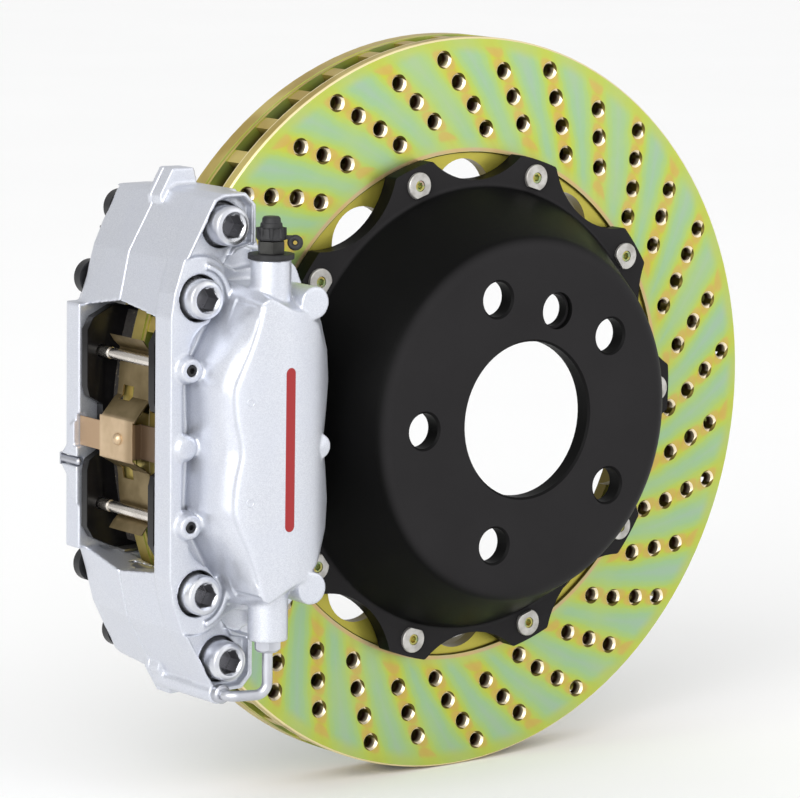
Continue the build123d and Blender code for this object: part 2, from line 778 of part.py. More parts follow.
pin = pad_pin()
retainer = pin_retainer()
save([Pos(PIN_X, 0, s * PIN_Z) * pin for s in (1, -1)], "pad_pins")
save([Pos(PIN_X, 0, s * PIN_Z) * retainer for s in (1, -1)], "pin_retainers")
save(pad_spring(), "pad_spring")
save(spring_rivet(), "spring_rivet")
liner = abutment_plate()
save([liner, mirror_z(liner), mirror_y(liner), mirror_y(mirror_z(liner))], "abutment_plates")
save(wear_clip(), "wear_clip")
save(crossover_pipe(), "crossover_pipe")
save(tube_nut(), "tube_nut")
save(pipe_collar(), "pipe_collar")
base_ring = bleeder_base_ring()
save([base_ring, mirror_y(base_ring)], "bleeder_base_rings")
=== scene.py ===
from math import cos, pi, radians, sin, tau

import bmesh
import bpy
import numpy as np
from mathutils import Matrix, Vector

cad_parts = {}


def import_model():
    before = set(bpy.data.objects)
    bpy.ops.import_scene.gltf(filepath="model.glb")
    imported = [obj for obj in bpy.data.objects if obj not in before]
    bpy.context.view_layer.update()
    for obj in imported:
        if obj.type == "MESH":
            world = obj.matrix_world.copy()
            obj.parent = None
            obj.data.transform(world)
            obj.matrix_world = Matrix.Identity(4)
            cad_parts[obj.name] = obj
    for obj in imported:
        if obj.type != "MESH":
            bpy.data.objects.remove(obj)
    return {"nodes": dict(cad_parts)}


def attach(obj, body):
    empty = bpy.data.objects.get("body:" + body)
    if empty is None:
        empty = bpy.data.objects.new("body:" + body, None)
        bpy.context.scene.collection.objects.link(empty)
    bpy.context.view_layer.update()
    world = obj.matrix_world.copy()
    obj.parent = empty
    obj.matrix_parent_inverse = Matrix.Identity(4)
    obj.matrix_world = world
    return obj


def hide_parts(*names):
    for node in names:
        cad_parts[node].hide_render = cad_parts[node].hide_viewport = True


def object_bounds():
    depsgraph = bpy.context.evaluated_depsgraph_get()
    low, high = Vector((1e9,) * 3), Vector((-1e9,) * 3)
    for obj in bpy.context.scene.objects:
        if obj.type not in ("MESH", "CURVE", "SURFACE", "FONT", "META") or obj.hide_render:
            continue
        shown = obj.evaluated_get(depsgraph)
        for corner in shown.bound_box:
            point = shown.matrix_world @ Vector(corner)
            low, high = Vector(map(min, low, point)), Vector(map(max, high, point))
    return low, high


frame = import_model()
cad_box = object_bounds()
nodes = frame["nodes"]
MM = 0.001
RANGE_SLOTS = ("From Min", "From Max", "To Min", "To Max")

# Driving places, in millimetres in the frame's own axes: +Y inboard along the axle, +Z up.
RING_Y = 56.2              # middle of the friction ring
HOLE_ROWS = 32             # rows of drilled holes
ROW_START = 4.55           # degrees, first row at HOLE_TOP_R
HOLE_TOP_R = 163.0         # outermost hole centre
HOLE_STEP = 11.0           # radial step between holes of a row
BAND_IN = (124.0, 126.5)   # radii where the drilled band fades in
BAND_OUT = (169.0, 166.5)  # and out again
VENT_TOP = (-8.6, -7.9)    # vent walls from the ring's middle, where their painted shade fades in
VENT_END = (3.2, 2.5)
MARK_X, MARK_Z = -159.5, 22.2
MARK_R, MARK_WIRE = 1.6, 0.32
STRIPE_X, STRIPE_HALF, STRIPE_WIDE = -140.5, 34.0, 2.6
BOLTS = ((-169.5, 66.0), (-156.0, 97.5))
COUNTERBORE_R = 10.5
SOCKET_R = 5.9
PIN = (-176.0, 34.9)
SPRING_Z = -1.8            # middle of the pad spring's plate
# the outboard flank that is blended into one swell: x range, y and height limits
FLANK_X, FLANK_Y, FLANK_Z = (-174.0, -146.0), 15.5, 60.0
BOSS_CLEAR = 9.0           # left alone around the pin bosses and the middle boss
BOLT_CLEAR = 2.0           # left alone around the counterbores
CREASE_REACH, CREASE_DEPTH, CREASE_Y = 1.4, 1.2, 5.0
VOXEL, QUICK_VOXEL = 0.7, 1.6
CASTING_FACES = 190000     # triangles in one casting
WELD_GAP = 0.004
FLOOR_HALF, FLOOR_GAP = 14.0, 0.0004            # metres
# upper half of the crease beside the outboard panel, (x, z) from the axle height up
SHOULDER_LINE = (
    (-164.3, 0.0), (-166.4, 14.0), (-167.0, 27.0), (-164.4, 36.0), (-160.9, 45.0),
    (-157.2, 56.5), (-155.0, 66.0), (-154.5, 75.0),
)

# camera fitted to the photograph's angle: degrees, millimetres of lens and metres
AZIMUTH, ELEVATION, ROLL = -37.5108, 9.09006, 0.81238
LENS, SENSOR = 198.19, 36.0
EYE = (-1.26352, -1.55715, 0.32856)


# ------------------------------------------------------------------ shader arithmetic
class Num:
    """A number inside a material. Arithmetic on it adds Math nodes."""

    def __init__(self, tree, socket):
        self.tree = tree
        self.socket = socket

    def op(self, operation, *others):
        node = self.tree.nodes.new("ShaderNodeMath")
        node.operation = operation
        for slot, value in zip(node.inputs, (self, *others)):
            if isinstance(value, Num):
                self.tree.links.new(value.socket, slot)
            else:
                slot.default_value = value
        return Num(self.tree, node.outputs[0])

    def __add__(self, other):
        return self.op("ADD", other)

    def __sub__(self, other):
        return self.op("SUBTRACT", other)

    def __mul__(self, other):
        return self.op("MULTIPLY", other)

    def __truediv__(self, other):
        return self.op("DIVIDE", other)

    def __rsub__(self, other):
        return self * -1.0 + other

    __radd__ = __add__
    __rmul__ = __mul__

    def root(self):
        return self.op("SQRT")

    def whole(self):
        return self.op("ROUND")

    def size(self):
        return self.op("ABSOLUTE")

    def ramp(self, low, high):
        """0 below low, 1 above high, smooth between; low may be the larger one."""
        node = self.tree.nodes.new("ShaderNodeMapRange")
        node.interpolation_type = "SMOOTHSTEP"
        self.tree.links.new(self.socket, node.inputs["Value"])
        if low < high:
            values = (low, high, 0.0, 1.0)
        else:
            values = (high, low, 1.0, 0.0)
        for slot, value in zip(RANGE_SLOTS, values):
            node.inputs[slot].default_value = value
        return Num(self.tree, node.outputs["Result"])


class Finish:
    """One material: a Principled shader with named colours, patterns and bump."""

    def __init__(self, name, **shader):
        self.material = bpy.data.materials.new(name)
        self.material.use_nodes = True
        self.tree = self.material.node_tree
        self.shader = self.tree.nodes["Principled BSDF"]
        for slot, value in shader.items():
            self.shader.inputs[slot.replace("_", " ")].default_value = value
        self.coordinates = self.tree.nodes.new("ShaderNodeTexCoord")
        self.height = None

    def place(self):
        """Position in millimetres as three numbers."""
        split = self.tree.nodes.new("ShaderNodeSeparateXYZ")
        self.tree.links.new(self.coordinates.outputs["Object"], split.inputs[0])
        return [Num(self.tree, out) * 1000.0 for out in split.outputs]

    def facing(self):
        """The surface's own direction as three numbers."""
        split = self.tree.nodes.new("ShaderNodeSeparateXYZ")
        self.tree.links.new(self.coordinates.outputs["Normal"], split.inputs[0])
        return [Num(self.tree, out) for out in split.outputs]

    def vector(self, x, y, z):
        node = self.tree.nodes.new("ShaderNodeCombineXYZ")
        for slot, value in zip(node.inputs, (x, y, z)):
            if isinstance(value, Num):
                self.tree.links.new(value.socket, slot)
            else:
                slot.default_value = value
        return node.outputs[0]

    def noise(self, size_mm, detail=2.0, stretch=(1.0, 1.0, 1.0), at=None, rough=0.5):
        """Noise of about that grain size, from 0 to 1 around 0.5."""
        node = self.tree.nodes.new("ShaderNodeTexNoise")
        node.inputs["Scale"].default_value = 1.0
        node.inputs["Detail"].default_value = detail
        node.inputs["Roughness"].default_value = rough
        if at is None:
            scaled = self.tree.nodes.new("ShaderNodeMapping")
            self.tree.links.new(self.coordinates.outputs["Object"], scaled.inputs["Vector"])
            scaled.inputs["Scale"].default_value = [1000.0 / size_mm / s for s in stretch]
            at = scaled.outputs[0]
        self.tree.links.new(at, node.inputs["Vector"])
        return Num(self.tree, node.outputs["Fac"])

    def speckle(self, size_mm):
        """Random value per small cell, for flakes and grains."""
        node = self.tree.nodes.new("ShaderNodeTexVoronoi")
        node.inputs["Scale"].default_value = 1000.0 / size_mm
        self.tree.links.new(self.coordinates.outputs["Object"], node.inputs["Vector"])
        split = self.tree.nodes.new("ShaderNodeSeparateColor")
        self.tree.links.new(node.outputs["Color"], split.inputs[0])
        return Num(self.tree, split.outputs[0])

    def mix(self, amount, first, second):
        """first where amount is 0, second where it is 1. Each is a colour or an earlier mix."""
        node = self.tree.nodes.new("ShaderNodeMix")
        node.data_type = "RGBA"
        self.tree.links.new(amount.socket, node.inputs["Factor"])
        for slot, value in zip(("A", "B"), (first, second)):
            target = [s for s in node.inputs if s.name == slot and s.type == "RGBA"][0]
            if isinstance(value, bpy.types.NodeSocket):
                self.tree.links.new(value, target)
            else:
                target.default_value = (*value, 1.0)
        return [s for s in node.outputs if s.type == "RGBA"][0]

    def bands(self, amount, *stops):
        """Colour ramp from (position, colour) stops."""
        node = self.tree.nodes.new("ShaderNodeValToRGB")
        node.color_ramp.interpolation = "EASE"
        while len(node.color_ramp.elements) < len(stops):
            node.color_ramp.elements.new(0.5)
        for element, (position, colour) in zip(node.color_ramp.elements, stops):
            element.position = position
            element.color = (*colour, 1.0)
        self.tree.links.new(amount.socket, node.inputs[0])
        return node.outputs[0]

    def colour(self, value):
        self.tree.links.new(value, self.shader.inputs["Base Color"])
        return self

    def rough(self, value):
        self.tree.links.new(value.socket, self.shader.inputs["Roughness"])
        return self

    def metal(self, value):
        self.tree.links.new(value.socket, self.shader.inputs["Metallic"])
        return self

    def bump(self, value, height_mm, strength=1.0):
        """Adds relief of that height. Later calls lie under earlier ones."""
        node = self.tree.nodes.new("ShaderNodeBump")
        node.inputs["Strength"].default_value = strength
        node.inputs["Distance"].default_value = height_mm * MM
        self.tree.links.new(value.socket, node.inputs["Height"])
        if self.height is None:
            self.tree.links.new(node.outputs[0], self.shader.inputs["Normal"])
        else:
            self.tree.links.new(node.outputs[0], self.height.inputs["Normal"])
        self.height = node
        return self


def tone(red, green, blue):
    """Colour as seen on a screen, 0 to 255, as the linear colour that shaders use."""
    def linear(level):
        level /= 255.0
        return level / 12.92 if level <= 0.04045 else ((level + 0.055) / 1.055) ** 2.4
    return linear(red), linear(green), linear(blue)


# ------------------------------------------------------------------ materials
def round_bolts(x, z, outer, inner):
    """1 within inner mm of a bridge bolt's axis and 0 beyond outer mm."""
    spots = None
    for bolt_x, bolt_z in BOLTS:
        across = x - bolt_x
        along = z.size() - bolt_z
        spot = (across * across + along * along).root().ramp(outer, inner)
        spots = spot if spots is None else spots + spot
    return spots


def passivated_iron():
    """Yellow passivated zinc: lime gold along the rows of holes, green and teal between."""
    f = Finish("passivated_iron", Metallic=0.72)
    x, y, z = f.place()
    radius = (x * x + z * z).root()
    angle = z.op("ARCTAN2", x) * (180.0 / pi)
    step = (HOLE_TOP_R - radius) / HOLE_STEP
    pitch = 360.0 / HOLE_ROWS
    phase = (angle - ROW_START + step * 2.85 + step * step * 0.15) / pitch
    row = phase.whole()
    off_row = (phase - row) * pitch * (pi / 180.0) * radius
    odd = (row * 0.5 - (row * 0.5).op("FLOOR")) * 2.0
    along = (step - odd * 0.5) - (step - odd * 0.5).whole()
    within = radius.ramp(*BAND_IN) * radius.ramp(*BAND_OUT)
    to_hole = (off_row * off_row * 1.1 + along * along * HOLE_STEP * HOLE_STEP).root()
    drift = f.noise(26.0, 2.0) * 6.0 - 3.0
    fine = f.noise(7.0, 2.0) * 3.0 - 1.5
    shade = (off_row.size() + drift + fine) / 16.0
    face = f.bands(
        shade,
        (0.0, tone(186, 176, 60)),
        (0.2, tone(184, 188, 66)),
        (0.36, tone(170, 190, 88)),
        (0.52, tone(158, 188, 116)),
        (0.72, tone(150, 184, 138)),
        (1.0, tone(152, 180, 152)),
    )
    cloud = f.noise(40.0, 2.0).ramp(0.42, 0.7) * 0.45
    face = f.mix(cloud, face, tone(168, 190, 116))
    rim = f.noise(18.0, 2.0) * 5.0 + radius
    face = f.mix(rim.ramp(166.5, 172.5) * 0.75, face, tone(176, 188, 84))
    face = f.mix(radius.ramp(127.0, 121.5) * 0.5, face, tone(172, 190, 110))
    halo = (to_hole + fine * 0.35).ramp(6.3, 4.4) * within * 0.6
    face = f.mix(halo, face, tone(196, 156, 92))
    pink = radius.ramp(119.0, 119.5) * radius.ramp(121.6, 120.4) * 0.6
    face = f.mix(pink, face, tone(204, 150, 130))
    face = f.mix(radius.ramp(119.2, 118.6), face, tone(178, 168, 70))
    # turned edge: golden, with painted highlights as cream lips and painted shade as deep olive
    # inside the vents
    y_ring = y - RING_Y
    flat = f.facing()[1].size().ramp(0.85, 0.97)
    long_cloud = f.noise(30.0, 3.0).ramp(0.35, 0.65)
    gold = f.mix(long_cloud, tone(176, 152, 78), tone(206, 188, 112))
    # painted highlight: cream lips along the cheeks' outer edges at the rim
    lip_highlight = y_ring.size().ramp(12.9, 13.5) + y_ring.ramp(-7.4, -7.9) * y_ring.ramp(-8.9, -8.4)
    gold = f.mix(lip_highlight * radius.ramp(170.6, 171.4) * 0.8, gold, tone(250, 236, 190))
    # painted shade: edge surfaces inward of the rim, inside the vents, turn deep olive
    gold = f.mix(radius.ramp(172.2, 166.0), gold, tone(96, 84, 32))
    # drilled walls: painted highlight in cream at the mouth, painted shade in brown in the depth
    mouth_highlight = y_ring.size().ramp(9.6, 13.2)
    bore_painted_light = f.mix(mouth_highlight, tone(74, 46, 26), tone(255, 240, 208))
    bore = to_hole.ramp(4.7, 4.4) * within
    whole = f.mix(flat, f.mix(bore, gold, bore_painted_light), face)
    # painted shade: dark olive on the vent walls inside the rim
    vent_shade = y_ring.ramp(*VENT_TOP) * y_ring.ramp(*VENT_END) * radius.ramp(171.5, 166.0)
    f.colour(f.mix(vent_shade, whole, tone(96, 86, 34)))
    turning = f.noise(1.0, 2.0, at=f.vector(radius * 2.2, y * 2.2, 0.0))
    f.rough(turning * 0.16 + f.noise(3.0, 3.0) * 0.14 + 0.22)
    f.bump(turning, 0.035, 0.5)
    return f.bump(f.noise(1.4, 2.0), 0.02, 0.4)


def black_anodised():
    """Matte black aluminium with a faint turned grain. Faces across the axle are painted lighter
    as a painted sheen, and the cone darker as painted shade.
    """
    f = Finish("black_anodised", Specular_IOR_Level=0.05)
    x, y, z = f.place()
    radius = (x * x + z * z).root()
    turning = f.noise(1.0, 2.0, at=f.vector(radius * 1.6, y * 1.6, 0.0))
    cloud = f.noise(34.0, 3.0)
    # painted sheen and shade: faces across the axle get a lighter black, the cone a darker one
    flat = f.facing()[1].size().ramp(0.6, 0.96)
    dark = f.mix(cloud, tone(6, 6, 6), tone(10, 10, 10))
    f.colour(f.mix(flat, dark, f.mix(cloud, tone(33, 32, 33), tone(40, 39, 40))))
    f.rough(cloud * 0.08 + turning * 0.07 + 0.36)
    f.bump(f.speckle(0.5), 0.012, 0.5)
    return f.bump(turning, 0.03, 0.35)


def silver_paint(name, outboard):
    """Satin silver paint with fine flakes over a lightly textured casting."""
    f = Finish(name, Metallic=0.7, Coat_Weight=0.12, Coat_Roughness=0.2)
    x, y, z = f.place()
    flake = f.speckle(0.35)
    cloud = f.noise(22.0, 3.0)
    base = f.mix(flake, tone(196, 199, 208), tone(214, 217, 224))
    base = f.mix(cloud.ramp(0.35, 0.7) * 0.3, base, tone(202, 206, 218))
    if outboard:
        # plain red accent line along the panel, with round ends
        past = z.size().op("SUBTRACT", STRIPE_HALF).op("MAXIMUM", 0.0)
        across = x - STRIPE_X
        away = (past * past + across * across).root()
        line = away.ramp(STRIPE_WIDE + 0.12, STRIPE_WIDE - 0.12) * y.ramp(0.0, -4.0)
        base = f.mix(line, base, tone(146, 0, 6))
        # painted shade in the gap around the bolt heads: the counterbore walls are painted dark
        gap_shade = round_bolts(x, z, COUNTERBORE_R + 0.35, COUNTERBORE_R - 0.15) * y.ramp(20.5, 18.0)
        base = f.mix(gap_shade, base, tone(16, 16, 18))
        f.metal((1.0 - line) * (1.0 - gap_shade) * 0.7)
    f.colour(base)
    f.rough(flake * 0.06 + cloud * 0.07 + 0.31)
    f.bump(f.noise(1.1, 3.0), 0.05, 0.3)
    return f.bump(f.noise(6.0, 2.0), 0.10, 0.2)


def turned_steel(name, light, dark, roughness, metallic=1.0, grain=3.0):
    """Plated or bare steel with fine scratches, tool lines and small stains."""
    f = Finish(name, Metallic=metallic)
    stain = f.noise(5.0 * grain, 4.0).ramp(0.3, 0.75)
    line = f.noise(0.6, 2.0, stretch=(1.0, 9.0, 1.0))
    f.colour(f.mix(stain, light, dark))
    f.rough(stain * 0.10 + line * 0.10 + roughness)
    f.bump(line, 0.006, 0.4)
    return f.bump(f.noise(2.2, 2.0), 0.01, 0.25)


def bolt_steel():
    """Bright plated bolt heads; deep in the hexagon socket recesses the colour is darker, as
    painted shade.
    """
    f = Finish("bolt_steel", Metallic=0.92)
    x, y, z = f.place()
    stain = f.noise(12.0, 4.0).ramp(0.3, 0.75)
    line = f.noise(0.6, 2.0, stretch=(1.0, 9.0, 1.0))
    steel = f.mix(stain, tone(222, 224, 228), tone(192, 194, 202))
    # painted shade deep inside the hexagon socket recesses
    socket_shade = round_bolts(x, z, SOCKET_R + 0.1, SOCKET_R - 0.1) * y.ramp(7.2, 8.2)
    f.colour(f.mix(socket_shade, steel, tone(128, 128, 132)))
    f.rough(stain * 0.10 + line * 0.10 + 0.22)
    f.bump(line, 0.006, 0.4)
    return f.bump(f.noise(2.2, 2.0), 0.01, 0.25)


def yellow_zinc():
    """Iridescent yellow zinc on small screws."""
    f = Finish("yellow_zinc", Metallic=0.9)
    hue = f.noise(4.0, 2.0)
    f.colour(f.bands(
        hue,
        (0.3, tone(176, 150, 84)),
        (0.48, tone(172, 168, 96)),
        (0.6, tone(140, 160, 120)),
        (0.72, tone(176, 140, 130)),
    ))
    f.rough(f.noise(1.2, 2.0) * 0.2 + 0.25)
    return f.bump(f.noise(0.8, 2.0), 0.01, 0.5)


def spring_bronze():
    """Olive bronze chromate on rolled spring strip, copper-toned on the middle plate."""
    f = Finish("spring_bronze", Metallic=0.85)
    x, y, z = f.place()
    cloud = f.noise(13.0, 3.0).ramp(0.3, 0.7)
    roll = f.noise(0.5, 2.0, stretch=(1.0, 1.0, 10.0))
    middle = (z - SPRING_Z).size()
    arms = f.mix(cloud, tone(132, 116, 84), tone(104, 90, 60))
    wing = middle.ramp(9.0, 8.0) * y.ramp(47.0, 46.0)
    arms = f.mix(wing, arms, tone(112, 94, 76))
    copper = f.mix(cloud, tone(208, 184, 152), tone(188, 164, 132))
    copper = f.mix(y.ramp(71.0, 73.0), copper, tone(178, 150, 120))
    # painted shade: the middle plate is painted darker towards its outboard end
    copper = f.mix(y.ramp(54.0, 48.0), copper, tone(160, 138, 108))
    plate = middle.ramp(11.0, 8.5) * x.ramp(-180.5, -181.6)
    f.colour(f.mix(plate, arms, copper))
    f.rough(roll * 0.15 + cloud * 0.1 + 0.26)
    f.bump(roll, 0.012, 0.5)
    return f.bump(f.noise(3.0, 2.0), 0.02, 0.3)


def gloss_black():
    """Baked enamel on a pressed plate, with orange peel and a little dust."""
    f = Finish("gloss_black", Coat_Weight=0.25, Coat_Roughness=0.12, Specular_IOR_Level=0.15)
    dust = f.noise(3.0, 4.0).ramp(0.5, 0.85)
    f.colour(f.mix(dust * 0.3, tone(14, 13, 14), tone(38, 37, 38)))
    f.rough(dust * 0.2 + 0.3)
    return f.bump(f.noise(1.6, 2.0), 0.05, 0.4)


def friction_compound():
    """Pressed friction compound with metal and mineral grains."""
    f = Finish("friction_compound")
    grain = f.speckle(0.8)
    ground = f.mix(f.noise(6.0, 4.0), tone(34, 31, 30), tone(50, 46, 42))
    ground = f.mix(grain.ramp(0.92, 0.96) * 0.6, ground, tone(120, 110, 92))
    f.colour(f.mix(grain.ramp(0.14, 0.08), ground, tone(18, 17, 17)))
    f.rough(grain * 0.3 + 0.6)
    return f.bump(f.noise(0.9, 4.0), 0.18, 0.8)


def soft_black(name, roughness, light):
    """Moulded rubber or plastic: fine grain and a slightly greyer bloom."""
    f = Finish(name, Specular_IOR_Level=0.4)
    bloom = f.noise(4.0, 4.0)
    f.colour(f.mix(bloom.ramp(0.35, 0.8), tone(24, 24, 26), tone(light, light, light + 2)))
    f.rough(bloom * 0.16 + roughness)
    return f.bump(f.noise(0.5, 2.0), 0.03, 0.5)


def pale_floor():
    """Matte studio floor, almost white."""
    f = Finish("pale_floor", Roughness=0.7, Specular_IOR_Level=0.1)
    f.colour(f.mix(f.noise(400.0, 3.0), (0.93, 0.93, 0.93), (0.96, 0.96, 0.96)))
    return f.bump(f.noise(2.0, 2.0), 0.02, 0.2)


SILVER = silver_paint("silver_paint", False)
PANEL_SILVER = silver_paint("silver_paint_panel", True)
IRON = passivated_iron()
ANODISED = black_anodised()
PLATED = turned_steel("plated_steel", tone(206, 208, 214), tone(176, 178, 186), 0.24, 0.95)
PIN_STEEL = turned_steel("pin_steel", tone(232, 226, 218), tone(208, 202, 194), 0.16)
BOLT_STEEL = bolt_steel()
DARK_ZINC = turned_steel("dark_zinc", tone(74, 74, 72), tone(48, 48, 46), 0.3, 0.85)
STAINLESS = turned_steel("stainless", tone(178, 176, 170), tone(146, 143, 136), 0.28)
CHROME = turned_steel("piston_steel", tone(210, 210, 212), tone(186, 186, 190), 0.14)
BOBBIN = turned_steel("bobbin_steel", tone(196, 194, 190), tone(164, 161, 156), 0.38, 0.8, 1.0)
ZINC = yellow_zinc()
BRONZE = spring_bronze()
ENAMEL = gloss_black()
FRICTION = friction_compound()
RUBBER = soft_black("rubber", 0.5, 44)
PLASTIC = soft_black("moulded_plastic", 0.3, 36)


# ------------------------------------------------------------------ shapes
def link(name, mesh, finish, body):
    """New object with its finish, riding on a body."""
    piece = bpy.data.objects.new(name, mesh)
    bpy.context.scene.collection.objects.link(piece)
    mesh.materials.clear()
    mesh.materials.append(finish.material)
    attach(piece, body)
    return piece


def welded(node):
    """Copy of a node's mesh with its face borders joined."""
    shape = bmesh.new()
    shape.from_mesh(nodes[node].data)
    bmesh.ops.remove_doubles(shape, verts=shape.verts, dist=WELD_GAP * MM)
    mesh = bpy.data.meshes.new(node + "_copy")
    shape.to_mesh(mesh)
    shape.free()
    return mesh


def settled(piece):
    """The piece's mesh with its modifiers applied."""
    graph = bpy.context.evaluated_depsgraph_get()
    mesh = bpy.data.meshes.new_from_object(piece.evaluated_get(graph))
    piece.modifiers.clear()
    return mesh


def smooth_line(corners, steps=6):
    """Points of a smooth curve through the corners, mirrored below the axle height."""
    upper = [Vector(c) for c in corners]
    whole = [Vector((p.x, -p.y)) for p in reversed(upper[1:])] + upper
    points = []
    for a, b, c, d in zip(whole, whole[1:], whole[2:], whole[3:]):
        for k in range(steps):
            t = k / steps
            points.append(0.5 * (
                2 * b + (c - a) * t + (2 * a - 5 * b + 4 * c - d) * t * t
                + (3 * b - a - 3 * c + d) * t ** 3
            ))
    return np.array([tuple(p) for p in points])


def press(mesh, line, reach, depth, below):
    """Sinks the skin along a line of (x, z) points, on the side where y is under below (mm)."""
    count = len(mesh.vertices)
    place = np.empty(count * 3, np.float32)
    facing = np.empty(count * 3, np.float32)
    mesh.vertices.foreach_get("co", place)
    mesh.vertices.foreach_get("normal", facing)
    place = place.reshape(-1, 3) / MM
    facing = facing.reshape(-1, 3)
    chosen = np.where((place[:, 1] < below) & (facing[:, 1] < 0.3))[0]
    flat = place[chosen][:, (0, 2)]
    away = np.full(len(chosen), 1e9)
    for start, end in zip(line, line[1:]):
        run = end - start
        part = np.clip(((flat - start) @ run) / (run @ run), 0.0, 1.0)
        gap = flat - (start + part[:, None] * run)
        away = np.minimum(away, np.hypot(gap[:, 0], gap[:, 1]))
    sink = depth * np.exp(-((away / reach) ** 2))
    place[chosen] -= facing[chosen] * sink[:, None]
    mesh.vertices.foreach_set("co", (place * MM).astype(np.float32).ravel())
    mesh.update()


def flank_group(piece):
    """Vertex group of the housing's left flank, which is blended into one smooth swell."""
    mesh = piece.data
    place = np.empty(len(mesh.vertices) * 3, np.float32)
    mesh.vertices.foreach_get("co", place)
    x, y, z = place.reshape(-1, 3).T / MM
    tall = np.abs(z)
    chosen = (y < FLANK_Y) & (x > FLANK_X[0]) & (x < FLANK_X[1]) & (tall < FLANK_Z)
    chosen &= np.hypot(x - PIN[0], tall - PIN[1]) > BOSS_CLEAR
    chosen &= np.hypot(x - PIN[0], tall) > BOSS_CLEAR
    for bolt_x, bolt_z in BOLTS:
        chosen &= np.hypot(x - bolt_x, tall - bolt_z) > COUNTERBORE_R + BOLT_CLEAR
    group = piece.vertex_groups.new(name="flank")
    group.add([int(i) for i in np.where(chosen)[0]], 1.0, "REPLACE")
    return group.name


def casting(node, name, finish):
    """The casting with the soft edges and blends of a sand-cast, painted part."""
    blank = bpy.data.objects.new(node + "_blank", welded(node))
    bpy.context.scene.collection.objects.link(blank)
    remesh = blank.modifiers.new("even", "REMESH")
    remesh.mode = "VOXEL"
    remesh.voxel_size = VOXEL * MM
    soften = blank.modifiers.new("soften", "SMOOTH")
    soften.factor = 0.5
    soften.iterations = 3
    blank.data = settled(blank)
    if node.startswith("outboard"):
        swell = blank.modifiers.new("swell", "SMOOTH")
        swell.vertex_group = flank_group(blank)
        swell.factor = 0.5
        swell.iterations = 60
        blank.data = settled(blank)
        press(blank.data, smooth_line(SHOULDER_LINE), CREASE_REACH, CREASE_DEPTH, CREASE_Y)
    thin = blank.modifiers.new("thin", "DECIMATE")
    thin.ratio = CASTING_FACES / (2 * len(blank.data.polygons))
    mesh = settled(blank)
    bpy.data.objects.remove(blank)
    mesh.shade_smooth()
    piece = link(name, mesh, finish, "caliper")
    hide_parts(node)
    return piece


def dress(finish, *names, edge=0.0, angle=32):
    """Gives CAD nodes their material, and a small rounded edge where edge is not 0."""
    for name in names:
        node = nodes[name]
        mesh = node.data
        mesh.materials.clear()
        mesh.materials.append(finish.material)
        if "custom_normal" in mesh.attributes:
            mesh.attributes.remove(mesh.attributes["custom_normal"])
        mesh.shade_smooth()
        weld = node.modifiers.new("weld", "WELD")
        weld.merge_threshold = WELD_GAP * MM
        if edge:
            bevel = node.modifiers.new("edge", "BEVEL")
            bevel.width = edge * MM
            bevel.segments = 2
            bevel.limit_method = "ANGLE"
            bevel.angle_limit = radians(angle)
            bevel.use_clamp_overlap = False
            bevel.harden_normals = True
        node.modifiers.new("sharp", "NODES").node_group = sharp_by_angle(angle)


def sharp_by_angle(angle):
    """Geometry nodes that keep edges steeper than the angle crisp."""
    name = f"sharp_{angle}"
    if name in bpy.data.node_groups:
        return bpy.data.node_groups[name]
    group = bpy.data.node_groups.new(name, "GeometryNodeTree")
    group.interface.new_socket("Geometry", in_out="INPUT", socket_type="NodeSocketGeometry")
    group.interface.new_socket("Geometry", in_out="OUTPUT", socket_type="NodeSocketGeometry")
    start = group.nodes.new("NodeGroupInput")
    end = group.nodes.new("NodeGroupOutput")
    bend = group.nodes.new("GeometryNodeInputMeshEdgeAngle")
    steep = group.nodes.new("FunctionNodeCompare")
    steep.data_type = "FLOAT"
    steep.operation = "GREATER_THAN"
    steep.inputs["B"].default_value = radians(angle)
    crisp = group.nodes.new("GeometryNodeSetShadeSmooth")
    crisp.domain = "EDGE"
    crisp.inputs["Shade Smooth"].default_value = False
    group.links.new(bend.outputs["Unsigned Angle"], steep.inputs["A"])
    group.links.new(start.outputs[0], crisp.inputs["Geometry"])
    group.links.new(steep.outputs[0], crisp.inputs["Selection"])
    group.links.new(crisp.outputs[0], end.inputs[0])
    return group


outboard = casting("outboard_caliper_half", "outboard_casting", PANEL_SILVER)
casting("inboard_caliper_half", "inboard_casting", SILVER)


def on_panel(x, z):
    """Where a line along the axle meets the outboard casting, and the way it faces there."""
    start = Vector((x * MM, cad_box[0].y - 0.02, z * MM))
    _, spot, facing, _ = outboard.ray_cast(start, Vector((0, 1, 0)))
    return spot, facing


def torus(shape, centre, axis, radius, tube, around=28, across=8):
    """Adds a ring of round section to a bmesh, in millimetres."""
    turn = axis.to_track_quat("Z", "Y").to_matrix()
    rows = []
    for i in range(around):
        a = tau * i / around
        row = []
        for j in range(across):
            b = tau * j / across
            r = radius + tube * cos(b)
            local = Vector((r * cos(a), r * sin(a), tube * sin(b))) * MM
            row.append(shape.verts.new(centre + turn @ local))
        rows.append(row)
    for i in range(around):
        for j in range(across):
            here, there = rows[i], rows[(i + 1) % around]
            k = (j + 1) % across
            shape.faces.new((here[j], there[j], there[k], here[k]))


def panel_marks():
    """Two small raised rings from the casting die, on the outboard panel."""
    shape = bmesh.new()
    for z in (MARK_Z, -MARK_Z):
        spot, facing = on_panel(MARK_X, z)
        torus(shape, spot, facing, MARK_R, MARK_WIRE)
    mesh = bpy.data.meshes.new("panel_marks")
    shape.to_mesh(mesh)
    shape.free()
    mesh.shade_smooth()
    link("panel_marks", mesh, SILVER, "caliper")


